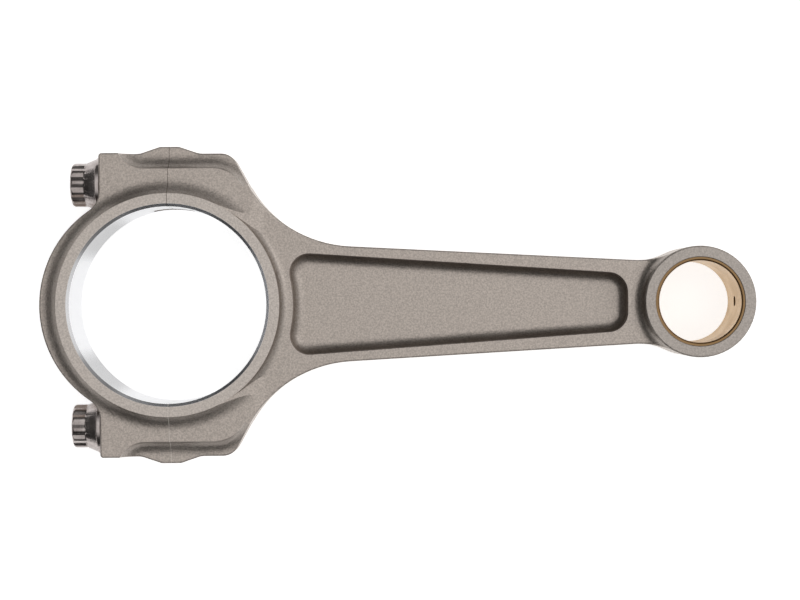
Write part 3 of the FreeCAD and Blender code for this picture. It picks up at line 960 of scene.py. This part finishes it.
    def _cut_thread(self, mesh: bmesh.types.BMesh, centre: Vector, start: float, tip: float) -> None:
        """Add the threaded stretch as rows that follow the helix.

        Args:
            mesh: The mesh to add to.
            centre: A point on the axis.
            start: Where the thread starts.
            tip: Where the bolt ends.
        """
        per = self.rows_per_pitch
        rows = math.ceil((tip - start) / self.pitch * per) + 2 * per
        grid = []
        for row in range(-per, rows):
            line = []
            for column in range(self.around + 1):
                turn = column / self.around
                turns = row / per
                x = min(max(start + (turns + turn) * self.pitch, start), tip)
                radius = self._thread_radius_at(x, turns, start, tip)
                if x <= start:
                    radius = self.waist_radius
                angle = -2 * math.pi * turn
                line.append(mesh.verts.new((
                    x, centre.y + radius * math.cos(angle), centre.z + radius * math.sin(angle))))
            grid.append(line)
        for low, high in zip(grid, grid[1:]):
            for column in range(self.around):
                corners = (low[column], low[column + 1], high[column + 1], high[column])
                mesh.faces.new(corners)

    def build(self, material: bpy.types.Material) -> bpy.types.Object:
        """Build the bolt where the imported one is.

        Args:
            material: The bolt's finish.

        Returns:
            The bolt, riding on its body.
        """
        low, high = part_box(self.node)
        centre = (low + high) / 2
        mesh = bmesh.new()
        start, tip = high.x - self.thread_length, high.x
        head = self._head_rings(low.x) + self._circles([(start, self.waist_radius)])
        rings = self._skin(mesh, centre, head)
        mesh.faces.new(rings[0])
        self._cut_thread(mesh, centre, start, tip)
        closing = self._skin(mesh, centre, self._circles([
            (tip, self.thread_radius - self.tip_chamfer),
            (tip, self.dimple_radius),
            (tip - self.dimple_depth, self.dimple_point),
        ]))
        mesh.faces.new(closing[-1])
        bmesh.ops.remove_doubles(mesh, verts=mesh.verts[:], dist=0.002 * MM)
        bmesh.ops.dissolve_degenerate(mesh, edges=mesh.edges[:], dist=0.001 * MM)
        bmesh.ops.recalc_face_normals(mesh, faces=mesh.faces[:])
        piece = new_piece(f"cap_bolt_{self.side.value}", mesh, material)
        smooth(piece.data, self.crease_angle)
        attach(piece, f"{self.side.value}_bolt")
        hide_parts(self.node)
        return piece


@dataclass
class Studio:
    """The floor, the light and the camera."""

    lens: float = 84.0
    camera_height: float = 0.545
    camera_x: float = 0.0665
    camera_y: float = 0.001
    floor_span: float = 3.0
    floor_gap: float = 0.0002
    roll: float = math.radians(-0.39)
    zenith: float = 1.0
    horizon: float = 0.07
    towards_right: float = 0.50
    towards_back: float = 0.12
    both_ends: float = 0.55
    darkest: float = 0.05
    zenith_edge: float = 0.62
    zenith_full: float = 0.985
    panels: tuple[tuple[Vector, float, float, float], ...] = (
        (Vector((0.60, 0.30, 0.50)), 0.25, 0.25, 0.5),
    )

    def lay_floor(self) -> bpy.types.Object:
        """Lay the floor under the rod.

        Returns:
            The floor.
        """
        mesh = bmesh.new()
        level = PACKED_BOX[0].z - self.floor_gap
        half = self.floor_span / 2
        corners = ((-half, -half), (half, -half), (half, half), (-half, half))
        mesh.faces.new([mesh.verts.new((x, y, level)) for x, y in corners])
        floor = new_piece("floor", mesh, PaleFloor().build())
        return floor

    def light(self) -> None:
        """Set one soft panel, and a sky that is bright overhead and dim low down."""
        world = bpy.data.worlds.new("studio")
        world.use_nodes = True
        graph = Graph(world.node_tree)
        background = world.node_tree.nodes["Background"]
        coords = graph.add("ShaderNodeTexCoord")
        parts = graph.add("ShaderNodeSeparateXYZ")
        graph.feed(parts.inputs[0], coords.outputs["Generated"])
        x, y = parts.outputs["X"], parts.outputs["Y"]
        low = graph.calc("MULTIPLY_ADD", x, self.towards_right, self.horizon)
        low = graph.calc("MULTIPLY_ADD", y, self.towards_back, low)
        low = graph.calc("MULTIPLY_ADD", graph.calc("MULTIPLY", x, x), self.both_ends, low)
        high = graph.ramp(parts.outputs["Z"], self.zenith_edge, self.zenith_full)
        level = graph.between(high, graph.calc("MAXIMUM", low, self.darkest), self.zenith)
        graph.feed(background.inputs["Strength"], level)
        background.inputs["Color"].default_value = (1.0, 0.99, 0.98, 1.0)
        bpy.context.scene.world = world
        aim = Vector((self.camera_x, 0.0, 0.0))
        for number, (place, width, depth, power) in enumerate(self.panels):
            lamp = bpy.data.lights.new(f"panel_{number}", "AREA")
            lamp.shape = "RECTANGLE"
            lamp.size = width
            lamp.size_y = depth
            lamp.energy = power
            panel = bpy.data.objects.new(f"panel_{number}", lamp)
            panel.location = place
            panel.rotation_euler = (aim - place).to_track_quat("-Z", "Y").to_euler()
            bpy.context.scene.collection.objects.link(panel)

    def stand_camera(self) -> bpy.types.Object:
        """Stand the camera straight over the rod's faces.

        Returns:
            The camera.
        """
        data = bpy.data.cameras.new("overhead")
        data.lens = self.lens
        camera = bpy.data.objects.new("overhead", data)
        camera.location = (self.camera_x, self.camera_y, self.camera_height)
        camera.rotation_euler = (0.0, 0.0, self.roll)
        bpy.context.scene.collection.objects.link(camera)
        bpy.context.scene.camera = camera
        bpy.context.scene.view_settings.view_transform = "Standard"
        return camera


def smooth(mesh: bpy.types.Mesh, angle: float) -> None:
    """Shade a mesh smooth, apart from its creases.

    Args:
        mesh: The mesh to shade.
        angle: The sharpest angle that stays smooth, in radians.
    """
    for face in mesh.polygons:
        face.use_smooth = True
    mesh.set_sharp_from_angle(angle=angle)


def new_piece(name: str, mesh: bmesh.types.BMesh, material: bpy.types.Material) -> bpy.types.Object:
    """Turn a mesh into an object with one material.

    Args:
        name: The object's name.
        mesh: The mesh, which is freed.
        material: The finish.

    Returns:
        The object.
    """
    data = bpy.data.meshes.new(name)
    mesh.to_mesh(data)
    mesh.free()
    data.materials.append(material)
    piece = bpy.data.objects.new(name, data)
    bpy.context.scene.collection.objects.link(piece)
    return piece


def main() -> None:
    """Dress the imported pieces, build the bolts and set the studio."""
    logging.basicConfig(level=logging.INFO, format="%(name)s: %(message)s")
    effects = SurfaceEffects()
    for piece in RodBody().dress(effects):
        LOG.info("%s dressed", piece.name)
    steel = PolishedSteel().build(effects)
    for side in Side:
        bolt = CapBolt(side).build(steel)
        LOG.info("%s has %d vertices", bolt.name, len(bolt.data.vertices))
    studio = Studio()
    studio.lay_floor()
    studio.light()
    studio.stand_camera()


if __name__ == "__main__":
    main()
